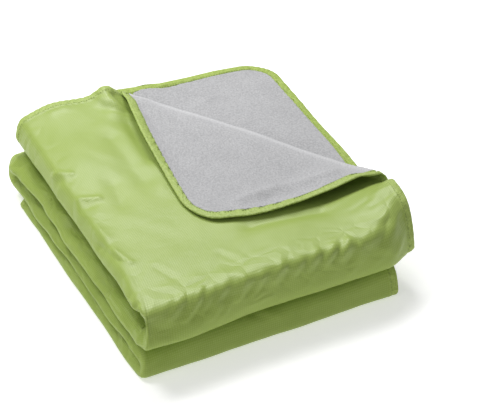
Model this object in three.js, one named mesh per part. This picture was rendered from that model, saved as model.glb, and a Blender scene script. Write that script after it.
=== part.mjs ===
// A lined camping blanket, folded four by four, with one corner of its top layer turned back.
// The cloth is a thin woven shell over a fleece lining. The shell's edge is turned over the fleece as a hem.
// Lengths are in millimetres. X runs to the right, Y to the back and Z up.
import * as THREE from "three";

// The cloth before it is folded.
const HEM_WIDTH = 15;
const CORNER_RADIUS = 57;
const SHELL_THICKNESS = 1.2;
const FLEECE_THICKNESS = 2.5;
const PLY_GAP = 0.3;
const HEM_ROLL = 0.2; // the hem stands this much proud of the fleece

// Offsets from the middle of the cloth, towards the shell side.
const SHELL_FACE = (SHELL_THICKNESS + PLY_GAP + FLEECE_THICKNESS) / 2;
const SHELL_BACK = SHELL_FACE - SHELL_THICKNESS;
const FLEECE_TOP = SHELL_BACK - PLY_GAP;
const FLEECE_FACE = FLEECE_TOP - FLEECE_THICKNESS;
const HEM_BACK = FLEECE_FACE - HEM_ROLL;
const HEM_STEP = 0.4; // how far the hem's inner edge slopes
const FLEECE_INSET = HEM_WIDTH + HEM_STEP + 0.4;

// Each panel of the folded stack holds four layers of cloth. This is the distance from one to the next.
const UPPER_PITCH = 11;
const LOWER_PITCH = 7;
const LAYERS = 4;
const OUTER = (LAYERS - 1) / 2; // the outer layers' offset from the panel's middle, in pitches
const INNER = 0.5;

// Heights of the four panels' middles, from the bottom panel up.
const PANEL_GAP = 1; // extra room between the second and third panel
const HEIGHT_4 = OUTER * LOWER_PITCH + SHELL_FACE;
const HEIGHT_3 = HEIGHT_4 + LAYERS * LOWER_PITCH;
const HEIGHT_2 = HEIGHT_3 + OUTER * (LOWER_PITCH + UPPER_PITCH) + LOWER_PITCH + PANEL_GAP;
const HEIGHT_1 = HEIGHT_2 + LAYERS * UPPER_PITCH;

// Places along Y where the folds turn, and where the cloth ends.
const BACK_HEM = 520;
const UPPER_FRONT = -10;
const BACK_FOLD = 497;
const LOWER_FRONT = -20;
const BOTTOM_END = 468;

const clamp01 = (v) => Math.min(1, Math.max(0, v));
const mix = (a, b, f) => a + (b - a) * f;
const smooth = (v) => {
  const f = clamp01(v);
  return f * f * (3 - 2 * f);
};
const bump = (v, centre, width) => Math.exp(-(((v - centre) / width) ** 2));

// Folds that carry weight are squarer than half circles: their corners stand out by this share.
const SQUARENESS = 0.12;
const squared = (angle) => 1 + SQUARENESS * Math.sin(2 * angle) ** 2;

// The seven stretches that the cloth takes from its back hem to its bottom end.
const ALONG = [
  { name: "panel1", from: BACK_HEM, to: UPPER_FRONT, height: HEIGHT_1 },
  { name: "upperFront", at: UPPER_FRONT, above: HEIGHT_1, below: HEIGHT_2, facing: -1 },
  { name: "panel2", from: UPPER_FRONT, to: BACK_FOLD, height: HEIGHT_2 },
  { name: "backFold", at: BACK_FOLD, above: HEIGHT_2, below: HEIGHT_3, facing: 1 },
  { name: "panel3", from: BACK_FOLD, to: LOWER_FRONT, height: HEIGHT_3 },
  { name: "lowerFront", at: LOWER_FRONT, above: HEIGHT_3, below: HEIGHT_4, facing: -1 },
  { name: "panel4", from: LOWER_FRONT, to: BOTTOM_END, height: HEIGHT_4 },
];
const ALONG_END = ALONG.length;
const BACK_FOLD_INDEX = 3;

// The seven stretches that it takes from its right hem on top to its right hem below.
const TOP = 0;
const OUTER_LEFT = 1;
const BOTTOM = 2;
const RIGHT_FOLD = 3;
const THIRD = 4;
const INNER_LEFT = 5;
const SECOND = 6;
const ACROSS_END = 7;

// Left and right limits of the folded cloth at each turn, from the back hem to the bottom end.
const TURNS = [
  { along: 0, left: -6, right: 497 },
  { along: 1, left: -6, right: 493 },
  { along: 2, left: -4, right: 487 },
  { along: 3, left: -36, right: 474 },
  { along: 4, left: -37, right: 470 },
  { along: 5, left: -5, right: 452 },
  { along: 6, left: -6, right: 450 },
  { along: 7, left: -31, right: 462 },
];

function limitsAt(along) {
  const i = Math.min(TURNS.length - 2, Math.floor(along));
  const f = along - i;
  return {
    left: mix(TURNS[i].left, TURNS[i + 1].left, f),
    right: mix(TURNS[i].right, TURNS[i + 1].right, f),
  };
}

// The middle line of the four layers at a place along the cloth, and the direction from it to the top layer.
function spineAt(along) {
  const i = Math.min(ALONG_END - 1, Math.floor(along));
  const f = along - i;
  const stretch = ALONG[i];
  const pitch = mix(UPPER_PITCH, LOWER_PITCH, smooth(along - BACK_FOLD_INDEX));
  if (stretch.height !== undefined) {
    const up = i % 4 === 0 ? 1 : -1;
    return { y: mix(stretch.from, stretch.to, f), z: stretch.height, ny: 0, nz: up, pitch };
  }
  const radius = (stretch.above - stretch.below) / 2;
  const angle = Math.PI * f;
  const across = Math.sin(angle) * stretch.facing * squared(angle);
  const upward = Math.cos(angle) * squared(angle);
  const side = i % 4 === 1 ? 1 : -1;
  return {
    y: stretch.at + radius * across,
    z: (stretch.above + stretch.below) / 2 + radius * upward,
    ny: across * side,
    nz: upward * side,
    pitch,
  };
}

// How far the second layer's hem and the right fold stand inside the top layer's hem.
const SECOND_INSET = 16;
const FOLD_INSET = 24;
const PULLED_INSET = 66; // what the pulled corner takes from the two layers below, at the back

// The place and the offset from the spine, in pitches, of a point across the cloth.
function sectionAt(across, along) {
  const { left, right } = limitsAt(along);
  const { pitch } = spineAt(along);
  const i = Math.min(ACROSS_END - 1, Math.floor(across));
  const f = across - i;
  const start = left + OUTER * pitch + SHELL_FACE;
  const pulled = along < 1 ? PULLED_INSET * (1 - along) ** 2 : 0;
  const foldEnd = right - FOLD_INSET - pulled;
  const secondEnd = right - SECOND_INSET;
  const angle = Math.PI * f;
  if (i === TOP) return { x: mix(right, start, f), n: OUTER };
  const round = OUTER * squared(angle);
  if (i === OUTER_LEFT) return { x: start - round * pitch * Math.sin(angle), n: round * Math.cos(angle) };
  if (i === BOTTOM) return { x: mix(start, foldEnd, f), n: -OUTER };
  if (i === RIGHT_FOLD) {
    const mid = -(OUTER + INNER) / 2;
    const reach = (OUTER - INNER) / 2;
    return { x: foldEnd + reach * pitch * Math.sin(angle), n: mid - reach * Math.cos(angle) };
  }
  if (i === THIRD) return { x: mix(foldEnd, start, f), n: -INNER };
  if (i === INNER_LEFT) return { x: start - INNER * pitch * Math.sin(angle), n: -INNER * Math.cos(angle) };
  return { x: mix(start, secondEnd, f), n: INNER };
}

// The upper front fold leans back, and more so towards the open right side.
const UPPER_FOLD_HEIGHT = (HEIGHT_1 + HEIGHT_2) / 2;
const LEAN_LEFT = 0.36;
const LEAN_RIGHT = 0.6;
const LEAN_REACH = 110; // how far back from the fold the lean fades out
function lean(p, along) {
  if (along > BACK_FOLD_INDEX) {
    p.y -= 3 * clamp01(p.x / 450) * smooth((120 - p.y) / LEAN_REACH);
    return;
  }
  const slope = mix(LEAN_LEFT, LEAN_RIGHT, smooth(p.x / 480));
  const skew = mix(-4, 17, smooth(p.x / 190)) + 22 * smooth((p.x - 430) / 70);
  const fade = smooth((LEAN_REACH - 10 - p.y) / LEAN_REACH);
  p.y += fade * (slope * (p.z - UPPER_FOLD_HEIGHT) + skew);
}

// The stack isn't level: its back is puffed up, with a bulge before the turned-back corner.
const PUFF_LEFT = 22;
const PUFF_RIGHT = 12;
const HEM_BULGE = 22;
const FRONT_BULGE = 15;
const BACK_SAG = 6;
function settle(p) {
  const back = smooth((p.y - 60) / 430);
  const puff = mix(PUFF_LEFT, PUFF_RIGHT, smooth((p.x - 150) / 60)) - 7 * (1 - smooth(p.x / 60));
  const hemBulge = HEM_BULGE * bump(p.x, 165, 26) * smooth((p.y - 430) / 90);
  const frontBulge = FRONT_BULGE * bump(p.x, 480, 85) * bump(p.y, 30, 62);
  const sink = 6 * smooth((p.x - 400) / 90) * smooth((p.y - 150) / 150);
  const roll = 2.4 * Math.sin(p.x / 61 + p.y / 97) * Math.sin(p.y / 83 - p.x / 143);
  const share = smooth((p.z - (HEIGHT_2 + 6)) / (HEIGHT_1 + 14 - HEIGHT_2));
  const sag = BACK_SAG * smooth((p.y - 330) / 170) * clamp01((p.z - HEIGHT_2 + 18) / 37);
  p.z += share * (back * puff + hemBulge + frontBulge - sink + roll) - sag;
}

// The top layer's back right corner is pulled out past the stack before it is turned back.
const PULL_RIGHT = 92;
const PULL_FORWARD = 84;
const PULL_START = 190;
const SECOND_REACH = 19; // how far the second layer reaches past the top layer's back hem
const SECOND_SHIFT = 12; // and how far its corner is drawn to the right
function pull(p, across, along) {
  const fromHem = 1 - clamp01(across);
  const { left, right } = limitsAt(along);
  const place = clamp01((mix(left, right, fromHem) - PULL_START) / (right - PULL_START));
  p.x += PULL_RIGHT * smooth((p.y - 20) / 400) * fromHem ** 1.3;
  p.y -= PULL_FORWARD * place ** 1.35 * (1 - along) ** 1.2;
  return p;
}

// The crease of the turned-back corner runs from the back hem to the right hem.
const CREASE_BACK = { x: 198, y: 520 };
const CREASE_FRONT = { x: 502, y: 95 };
const CREASE_LENGTH = Math.hypot(CREASE_FRONT.x - CREASE_BACK.x, CREASE_FRONT.y - CREASE_BACK.y);
const CREASE_X = (CREASE_FRONT.x - CREASE_BACK.x) / CREASE_LENGTH;
const CREASE_Y = (CREASE_FRONT.y - CREASE_BACK.y) / CREASE_LENGTH;
const FLAP_CLEARANCE = 7;
const FLAP_LIFT = 11; // how much higher the flap's front edge stands, over a tunnel
const FLAP_DROOP = 95;

const creaseRadius = (q) => 5 + bump(q, 0, 60) + bump(q, CREASE_LENGTH, 110);

// How far a flat point of the top layer lies past the crease, and how far along it.
function creasePlace(p) {
  const dx = p.x - CREASE_BACK.x;
  const dy = p.y - CREASE_BACK.y;
  return { q: dx * CREASE_X + dy * CREASE_Y, past: -dx * CREASE_Y + dy * CREASE_X };
}

// The share of the crease's half turn that a flat point has made: under 0 before it and over 1 past it.
function creaseTurn(p) {
  const { q, past } = creasePlace(p);
  const radius = creaseRadius(q);
  return (past + radius) / (Math.PI * radius);
}

// Rolls a flat point of the top layer over the crease, and says how high above that layer it comes.
function turnBack(p) {
  const { q, past } = creasePlace(p);
  const radius = creaseRadius(q);
  const turn = creaseTurn(p);
  if (turn <= 0) return 0;
  const beyond = turn < 1 ? 0 : past + radius - Math.PI * radius;
  const angle = Math.PI * Math.min(1, turn);
  const shift = radius * Math.sin(angle) - radius - beyond - past;
  p.x -= shift * CREASE_Y;
  p.y += shift * CREASE_X;
  const height = radius * (1 - Math.cos(angle));
  const lift = FLAP_LIFT * smooth((q - 330) / 90) * smooth(beyond / 40);
  return turn < 1 ? height : mix(FLAP_CLEARANCE, height, Math.exp(-beyond / FLAP_DROOP)) + lift;
}

const isPulled = (across, along) => across < 1 && along < 1;

// The flat place of a point of the top layer, before its corner is turned back.
function flatTop(across, along) {
  const { y } = spineAt(along);
  const { x } = sectionAt(across, along);
  return pull({ x, y, z: 0 }, across, along);
}

// The middle of the cloth in the folded stack.
function clothPoint(across, along) {
  const spine = spineAt(along);
  const section = sectionAt(across, along);
  const offset = section.n * spine.pitch;
  const p = { x: section.x, y: spine.y + offset * spine.ny, z: spine.z + offset * spine.nz };
  let above = 0;
  if (isPulled(across, along)) {
    pull(p, across, along);
    above = turnBack(p);
  }
  if (across > SECOND && along < 1) {
    const reach = SECOND_REACH * (1 - 0.25 * smooth((p.x - 330) / 150));
    const share = smooth((across - SECOND) / 0.35) * (1 - along) ** 3;
    p.y += reach * share;
    p.x += SECOND_SHIFT * share * smooth((across - SECOND) / 0.8);
  }
  lean(p, along);
  settle(p);
  p.z += above;
  return new THREE.Vector3(p.x, p.y, p.z);
}

// The cloth's outward direction, towards its shell side.
const STEP = 1e-4;
function clothNormal(across, along) {
  const a0 = Math.max(0, across - STEP);
  const a1 = Math.min(ACROSS_END, across + STEP);
  const b0 = Math.max(0, along - STEP);
  const b1 = Math.min(ALONG_END, along + STEP);
  const da = clothPoint(a1, along).sub(clothPoint(a0, along));
  const db = clothPoint(across, b1).sub(clothPoint(across, b0));
  return da.cross(db).normalize();
}

// Flat lengths of the stretches that end at a hem, for placing hems and round corners.
function topLength(along) {
  const { left, right } = limitsAt(along);
  const base = right - left - OUTER * spineAt(along).pitch - SHELL_FACE;
  return base + (along < 1 ? PULL_RIGHT * smooth((spineAt(along).y - 20) / 400) : 0);
}
const secondLength = (along) => topLength(Math.max(1, along)) - SECOND_INSET;
const PANEL_1_LENGTH = BACK_HEM - UPPER_FRONT;
const PANEL_4_LENGTH = BOTTOM_END - LOWER_FRONT;

// Distances from an edge at which the mesh has lines.
const EDGE_LINES = [0, HEM_WIDTH, HEM_WIDTH + HEM_STEP, FLEECE_INSET, CORNER_RADIUS * 0.64, CORNER_RADIUS];
const EDGE_LINES_BACKWARDS = [...EDGE_LINES].reverse().slice(1);

// Evenly spaced shares of a stretch, without its first.
const shares = (count) => Array.from({ length: count }, (_, i) => (i + 1) / count);

// A row's stations across the cloth, in order. The key pairs those of neighbouring rows.
function rowStations(along, fine) {
  const top = topLength(along);
  const second = secondLength(along);
  const cornerTop = CORNER_RADIUS / top;
  const cornerSecond = CORNER_RADIUS / second;
  const list = EDGE_LINES.map((d, k) => ({ across: d / top, key: k - EDGE_LINES.length }));
  const add = (start, from, length, count) =>
    shares(count).forEach((f) => list.push({ across: start + from + f * length, key: start + f }));
  add(TOP, cornerTop, 1 - cornerTop, fine ? 12 : 5);
  add(OUTER_LEFT, 0, 1, 6);
  add(BOTTOM, 0, 1, 3);
  add(RIGHT_FOLD, 0, 1, 4);
  add(THIRD, 0, 1, 3);
  add(INNER_LEFT, 0, 1, 3);
  add(SECOND, 0, 1 - cornerSecond, fine ? 6 : 3);
  EDGE_LINES_BACKWARDS.forEach((d, k) => list.push({ across: ACROSS_END - d / second, key: ACROSS_END + 1 + k }));
  return list;
}

// The rows' places along the cloth, and whether each needs the finer stations.
function rowPlaces() {
  const list = EDGE_LINES.map((d) => ({ along: d / PANEL_1_LENGTH, fine: true }));
  const add = (from, to, count, fine) =>
    shares(count).forEach((f) => list.push({ along: mix(from, to, f), fine }));
  add(CORNER_RADIUS / PANEL_1_LENGTH, 1, 11, true);
  add(1, 2, 8, true);
  add(2, 3, 3, false);
  add(3, 4, 6, false);
  add(4, 5, 3, false);
  add(5, 6, 6, false);
  add(6, ALONG_END - CORNER_RADIUS / PANEL_4_LENGTH, 3, false);
  EDGE_LINES_BACKWARDS.forEach((d) => list.push({ along: ALONG_END - d / PANEL_4_LENGTH, fine: false }));
  return list;
}

// Moves a point of a square corner onto the round corner that is the same distance from the edge.
function roundCorner(du, dv) {
  const depth = Math.min(du, dv);
  const reach = Math.max(du, dv);
  const radius = CORNER_RADIUS - depth;
  if (reach >= CORNER_RADIUS || radius <= 0) return [du, dv];
  const angle = (Math.PI / 4) * ((CORNER_RADIUS - reach) / radius);
  const near = CORNER_RADIUS - radius * Math.cos(angle);
  const far = CORNER_RADIUS - radius * Math.sin(angle);
  return du <= dv ? [near, far] : [far, near];
}

// A mesh vertex: its place in the cloth, and its distance from the cloth's nearest edge.
function vertexAt(across, along) {
  const top = topLength(along);
  const second = secondLength(along);
  const onTop = across < 1;
  const onSecond = across > SECOND;
  const du = onTop ? across * top : onSecond ? (ACROSS_END - across) * second : Infinity;
  const dv = along < 1 ? along * PANEL_1_LENGTH : along > 6 ? (ALONG_END - along) * PANEL_4_LENGTH : Infinity;
  const edge = Math.min(du, dv);
  if (!(du < CORNER_RADIUS && dv < CORNER_RADIUS)) return { across, along, edge };
  const [ru, rv] = roundCorner(du, dv);
  return {
    across: onTop ? ru / top : ACROSS_END - ru / second,
    along: along < 1 ? rv / PANEL_1_LENGTH : ALONG_END - rv / PANEL_4_LENGTH,
    edge,
  };
}

// Joins two neighbouring rows by triangles, whatever their numbers of stations.
function joinRows(rowA, rowB, triangles) {
  let i = 0;
  let k = 0;
  while (i < rowA.length - 1 || k < rowB.length - 1) {
    const nextA = i < rowA.length - 1 ? rowA[i + 1].key : Infinity;
    const nextB = k < rowB.length - 1 ? rowB[k + 1].key : Infinity;
    if (nextA <= nextB + 1e-9) {
      triangles.push([rowA[i].index, rowA[i + 1].index, rowB[k].index]);
      i += 1;
    } else {
      triangles.push([rowA[i].index, rowB[k + 1].index, rowB[k].index]);
      k += 1;
    }
  }
}

// The flat mesh that both sheets share.
function flatMesh() {
  const vertices = [];
  const triangles = [];
  const rows = rowPlaces().map(({ along, fine }) =>
    rowStations(along, fine).map(({ across, key }) => {
      vertices.push(vertexAt(across, along));
      return { key, index: vertices.length - 1 };
    }),
  );
  for (let j = 0; j + 1 < rows.length; j += 1) joinRows(rows[j], rows[j + 1], triangles);
  return { vertices, triangles };
}

// Cuts the triangles of the top layer along a line, given by a measure that is zero on it.
function cutAlong(mesh, measure) {
  const values = mesh.vertices.map((v) => (isPulled(v.across, v.along) ? measure(v) : -1));
  values.forEach((v, i) => {
    if (Math.abs(v) < 0.02) values[i] = 0;
  });
  const made = new Map();
  const cut = (i, k) => {
    const key = i < k ? `${i}_${k}` : `${k}_${i}`;
    if (!made.has(key)) {
      const f = values[i] / (values[i] - values[k]);
      const [a, b] = [mesh.vertices[i], mesh.vertices[k]];
      mesh.vertices.push({
        across: mix(a.across, b.across, f),
        along: mix(a.along, b.along, f),
        edge: mix(a.edge, b.edge, f),
      });
      values.push(0);
      made.set(key, mesh.vertices.length - 1);
    }
    return made.get(key);
  };
  const result = [];
  for (const t of mesh.triangles) {
    const signs = t.map((i) => Math.sign(values[i]));
    if (Math.max(...signs) - Math.min(...signs) < 2) {
      result.push(t);
      continue;
    }
    const zero = signs.indexOf(0);
    if (zero >= 0) {
      const [o, a, b] = [t[zero], t[(zero + 1) % 3], t[(zero + 2) % 3]];
      const m = cut(a, b);
      result.push([o, a, m], [o, m, b]);
      continue;
    }
    const lone = signs.findIndex((s, n) => s !== signs[(n + 1) % 3] && s !== signs[(n + 2) % 3]);
    const [o, a, b] = [t[lone], t[(lone + 1) % 3], t[(lone + 2) % 3]];
    const [p, q] = [cut(o, a), cut(o, b)];
    result.push([o, p, q], [p, a, b], [p, b, q]);
  }
  mesh.triangles = result;
}

const CREASE_STEPS = 5;
function cutCrease(mesh) {
  for (let k = 0; k <= CREASE_STEPS; k += 1) {
    cutAlong(mesh, (v) => creaseTurn(flatTop(v.across, v.along)) - k / CREASE_STEPS);
  }
}

// Makes a closed sheet from a flat mesh, between an upper and a lower offset that each vertex gives.
function closedSheet(vertices, triangles, upperOffset, lowerOffset) {
  const count = vertices.length;
  const positions = new Float32Array(count * 6);
  vertices.forEach((v, i) => {
    const p = clothPoint(v.across, v.along);
    const n = clothNormal(v.across, v.along);
    p.clone().addScaledVector(n, upperOffset(v)).toArray(positions, i * 3);
    p.clone().addScaledVector(n, lowerOffset(v)).toArray(positions, (count + i) * 3);
  });
  const index = [];
  const open = new Map();
  for (const [a, b, c] of triangles) {
    index.push(a, b, c, count + a, count + c, count + b);
    for (const [i, k] of [[a, b], [b, c], [c, a]]) {
      if (!open.delete(`${k}_${i}`)) open.set(`${i}_${k}`, [i, k]);
    }
  }
  for (const [i, k] of open.values()) index.push(i, count + i, count + k, i, count + k, k);
  const geometry = new THREE.BufferGeometry();
  geometry.setAttribute("position", new THREE.BufferAttribute(positions, 3));
  geometry.setIndex(index);
  return geometry;
}

const flat = flatMesh();
cutCrease(flat);

function shellGeometry() {
  const inHem = (v) => v.edge <= HEM_WIDTH + HEM_STEP / 2;
  return closedSheet(flat.vertices, flat.triangles, () => SHELL_FACE, (v) => (inHem(v) ? HEM_BACK : SHELL_BACK));
}

function liningGeometry() {
  const renumber = new Map();
  const vertices = [];
  flat.vertices.forEach((v, i) => {
    if (v.edge < FLEECE_INSET - 1e-6) return;
    renumber.set(i, vertices.length);
    vertices.push(v);
  });
  const inside = flat.triangles.filter((t) => t.every((i) => renumber.has(i)));
  const triangles = inside.map((t) => t.map((i) => renumber.get(i)));
  return closedSheet(vertices, triangles, () => FLEECE_TOP, () => FLEECE_FACE);
}

function namedMesh(name, geometry, colour, roughness) {
  geometry.computeVertexNormals();
  const material = new THREE.MeshStandardMaterial({ color: colour, roughness, metalness: 0 });
  const mesh = new THREE.Mesh(geometry, material);
  mesh.name = name;
  return mesh;
}

const shell = namedMesh("shell", shellGeometry(), 0xa3bf6b, 0.5);
const lining = namedMesh("lining", liningGeometry(), 0xc6c6c8, 0.95);

// The origin is at the middle of the underside.
const blanket = new THREE.Group();
blanket.add(shell, lining);
const box = new THREE.Box3().setFromObject(blanket);
for (const mesh of blanket.children) {
  mesh.geometry.translate(-(box.min.x + box.max.x) / 2, -(box.min.y + box.max.y) / 2, -box.min.z);
}

export default blanket;
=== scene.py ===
import math
import bpy
import numpy as np
from mathutils import Matrix, Vector


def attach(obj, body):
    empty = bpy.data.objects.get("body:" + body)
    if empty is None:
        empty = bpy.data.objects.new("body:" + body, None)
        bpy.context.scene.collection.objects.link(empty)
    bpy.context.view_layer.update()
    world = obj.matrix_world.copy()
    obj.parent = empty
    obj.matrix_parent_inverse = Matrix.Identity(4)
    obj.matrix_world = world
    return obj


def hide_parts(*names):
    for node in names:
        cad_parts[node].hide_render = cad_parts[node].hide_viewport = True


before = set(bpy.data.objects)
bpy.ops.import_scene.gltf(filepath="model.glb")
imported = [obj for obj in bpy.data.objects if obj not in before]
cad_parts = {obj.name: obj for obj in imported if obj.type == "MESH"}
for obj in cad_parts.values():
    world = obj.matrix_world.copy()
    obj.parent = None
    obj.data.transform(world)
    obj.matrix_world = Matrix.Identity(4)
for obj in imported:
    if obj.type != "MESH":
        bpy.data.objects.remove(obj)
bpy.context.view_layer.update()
print("frame loaded")

# Lengths are in millimetres until a mesh is made. X runs right, Y to the back and Z up.
mm = 0.001
origin = np.array([234.083, 239.993, 0.0])  # the middle of the stack's underside, in the numbers below

camera = {
    "target": (271.07, 146.18, 128.0),
    "distance": 2510.26,
    "azimuth": -26.36,  # degrees
    "elevation": 37.57,
    "lens": 108.0,
    "sensor": 36.0,
    "clip": (0.05, 30.0),  # metres
}


def placeCamera(c):
    # the camera looks at the target from its azimuth, elevation and distance
    a, e = math.radians(c["azimuth"]), math.radians(c["elevation"])
    back = np.array([math.sin(a) * math.cos(e), -math.cos(a) * math.cos(e), math.sin(e)])
    right = np.array([math.cos(a), math.sin(a), 0.0])
    up = np.cross(back, right)
    place = (np.array(c["target"]) - origin + back * c["distance"]) * mm
    data = bpy.data.cameras.new("camera")
    data.lens = c["lens"]
    data.sensor_width = c["sensor"]
    data.clip_start, data.clip_end = c["clip"]
    obj = bpy.data.objects.new("camera", data)
    bpy.context.scene.collection.objects.link(obj)
    obj.matrix_world = Matrix([
        [right[0], up[0], back[0], place[0]],
        [right[1], up[1], back[1], place[1]],
        [right[2], up[2], back[2], place[2]],
        [0, 0, 0, 1],
    ])
    bpy.context.scene.camera = obj


placeCamera(camera)
print("camera placed")

# The cloth and how it is folded. One sheet of shell and one of fleece follow the same middle surface.
cloth = {
    "hem": 15.0,
    "fleeceEdge": 15.8,  # where the fleece ends under the hem, from the blanket's edge
    "corner": 57.0,  # radius of the blanket's round corners
    "shellFace": 2.0,  # offsets from the middle surface, towards the shell side
    "shellBack": 0.8,
    "fleeceTop": 0.5,
    "fleeceFace": -2.0,
    "hemBack": -2.2,
    "upperPitch": 11.0,  # from one layer to the next, in the two upper panels
    "lowerPitch": 7.0,
    "droop": 0.8,  # how far the left folds hang down and out, and so end in a low sharp edge
    "square": 2.9,  # how square the folds are: 2 is a circle
    "shoulder": 8.0,  # and the upper front fold's upper half, but for its right end
    "shoulderRight": 3.0,
}
outer, inner = 1.5, 0.5  # offsets of the four layers from their panel's middle, in pitches
shellFace = cloth["shellFace"]
height4 = outer * cloth["lowerPitch"] + shellFace
height3 = height4 + 4 * cloth["lowerPitch"]
height2 = height3 + outer * (cloth["lowerPitch"] + cloth["upperPitch"]) + cloth["lowerPitch"] + 1.0
height1 = height2 + 4 * cloth["upperPitch"]
backHem, upperFront, backFold, lowerFront, bottomEnd = 520.0, -10.0, 497.0, -16.0, 468.0
# the seven stretches along the cloth:
# panel 1, upper front fold, panel 2, back fold, panel 3, lower front fold, panel 4
stretchFrom = np.array([backHem, upperFront, upperFront, backFold, backFold, lowerFront, lowerFront])
stretchTo = np.array([upperFront, upperFront, backFold, backFold, lowerFront, lowerFront, bottomEnd])
stretchTop = np.array([height1, height1, height2, height2, height3, height3, height4])
stretchFoot = np.array([height1, height2, height2, height3, height3, height4, height4])
# the left and right limits of the folded cloth, at places along it
limits = {
    "at": [0.0, 0.85, 1, 1.5, 1.85, 2, 2.3, 2.82, 3, 4, 5, 6, 7],
    "left": [-10.0, 0, -4, 6, -1, -6, -16, -23, -33, -31, -9, -12, -30],
    "right": [502.0, 499, 498, 494, 491, 490, 485, 477, 474, 470, 452, 452, 462],
}
# how far the left folds open above and below, at places along the cloth
openings = {
    "at": [0.0, 0.5, 0.7, 0.85, 1, 2, 2.3, 2.9, 3, 4, 5, 6, 7],
    "above": [0.0, 0, 0, 0, 0, 14, 16, 9, 4, 4, 6, 4, 3],
    "below": [0.0, 0, 1, 11, 18, 2, 3, 9, 9, 2, 2, 0, 0],
}
# how the left folds change at the upper front fold, where they end in one sharp edge
sharpEdge = {
    "drawnIn": 0.75,  # the share of their reach that they lose
    "squarer": 2.6,
    "shear": 0.6,  # how far they swing out to the left, for each step forward
}
# how far inside the right limit the second layer's hem and the right fold lie,
# and how much further in the fold lies at the back, where the top layer is drawn out
secondInset, foldInset, pulledInset = 16.0, 24.0, 66.0
# lengths on the flat cloth, from the back hem to each turn along and from the right hem to each turn across
flatAlong = np.array([0.0, 520, 659, 1169, 1269, 1787, 1869, 2358])
flatAcross = np.array([0.0, 508, 565, 1022, 1040, 1497, 1515])


def mix(a, b, f):
    # the value at share f of the way from a to b
    return a + (b - a) * f


def smooth(v):
    # a soft step from 0 to 1 with level ends
    f = np.clip(v, 0, 1)
    return f * f * (3 - 2 * f)


def bump(v, centre, width):
    # a bell curve with the height 1
    return np.exp(-(((v - centre) / width) ** 2))


def squared(angle, power):
    # the radius of a rounded square with the power as its exponent, where a circle has 2
    return (np.abs(np.cos(angle)) ** power + np.abs(np.sin(angle)) ** power) ** (-1 / power)


def limitsAt(along):
    # the left and right limits, on straight lines between those of the table
    return np.interp(along, limits["at"], limits["left"]), np.interp(along, limits["at"], limits["right"])


def opening(x, y, offset, along):
    # the folds' upper halves are pressed down and their lower halves up, most at the left,
    # by the opening there times how far above or below the panel's middle the point lies
    above = np.interp(along, openings["at"], openings["above"])
    above = above * (1 + 0.2 * np.sin(y / 17 + 2 * np.sin(y / 57)))
    below = np.interp(along, openings["at"], openings["below"])
    share = 1 - smooth((x + 5) / 80)
    return share * (below * (outer - offset) - above * (outer + offset)) / (2 * outer)


def spineAt(along, x=0.0):
    # panels are level lines at their height, and folds are rounded half squares between two heights;
    # ny and nz point outwards, towards the shell side
    i = np.clip(np.floor(along), 0, 6).astype(int)
    f = along - i
    pitch = mix(cloth["upperPitch"], cloth["lowerPitch"], smooth(along - 3))
    angle = np.pi * f
    facing = np.where(i == 3, 1.0, -1.0)
    side = np.where(i % 4 == 1, 1.0, -1.0)
    radius = (stretchTop[i] - stretchFoot[i]) / 2
    shoulder = mix(cloth["shoulder"], cloth["shoulderRight"], smooth((x - 330) / 150))
    form = squared(angle, np.where((i == 1) & (f < 0.5), shoulder, cloth["square"]))
    across = np.sin(angle) * facing * form
    upward = np.cos(angle) * form
    fold = i % 2 == 1
    y = mix(stretchFrom[i], stretchTo[i], f) + np.where(fold, radius * across, 0)
    z = (stretchTop[i] + stretchFoot[i]) / 2 + np.where(fold, radius * upward, 0)
    ny = np.where(fold, across * side, 0)
    nz = np.where(fold, upward * side, np.where(i % 4 == 0, 1.0, -1.0))
    return y, z, ny, nz, pitch


def sectionAt(across, along):
    # the four layers are level lines, joined by rounded half squares at the left and by a half circle
    # at the right: x, and the offset from the panel's middle in pitches
    left, right = limitsAt(along)
    pitch = spineAt(along)[4]
    i = np.clip(np.floor(across), 0, 6).astype(int)
    f = across - i
    reachLeft = 1 - sharpEdge["drawnIn"] * bump(along, 1.5, 0.42)
    start = left + outer * pitch * reachLeft + shellFace
    foldEnd = right - foldInset - np.where(along < 1, pulledInset * np.clip(1 - along, 0, 1) ** 2, 0)
    secondEnd = right - secondInset
    angle = np.pi * f
    ring = outer * squared(angle, cloth["square"] + sharpEdge["squarer"] * bump(along, 1.5, 0.5))
    middle, reach = -(outer + inner) / 2, (outer - inner) / 2
    x = np.choose(i, [
        mix(right, start, f), start - ring * pitch * reachLeft * np.sin(angle), mix(start, foldEnd, f),
        foldEnd + reach * pitch * np.sin(angle), mix(foldEnd, start, f),
        start - inner * pitch * reachLeft * np.sin(angle), mix(start, secondEnd, f),
    ])
    one = np.ones_like(f)
    n = np.choose(i, [
        outer * one, ring * np.cos(angle), -outer * one, middle - reach * np.cos(angle),
        -inner * one, -inner * np.cos(angle), inner * one,
    ])
    return x, n


def bendLeft(x, y, across, along, n, pitch, ny, nz):
    # the left folds droop, wander in and out along the lower panels,
    # and shear outwards at the upper front fold
    fold = np.where((across - 1) * (2 - across) > 0, np.sin(np.pi * across), 0)
    droop = cloth["droop"] * (0.5 + 0.5 * smooth((along - 2.7) / 0.6))
    wander = mix(1.7, 0.6, smooth(along - 5)) * smooth((along - 1.9) / 0.2)
    wander = wander * np.sin(y / 21 + 2 * np.sin(y / 53) + 1.7 * along)
    x = x + fold * (wander - droop * n * pitch * nz)
    return x + sharpEdge["shear"] * bump(along, 1.5, 0.4) * n * pitch * ny * (1 - smooth((x - 10) / 70))


leaning = {
    "left": 0.36,  # how far the upper front fold leans back for each step up
    "middle": 0.2,
    "rightEnd": 0.3,  # added there
    "lower": 0.35,  # and the lower front fold
}


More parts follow.
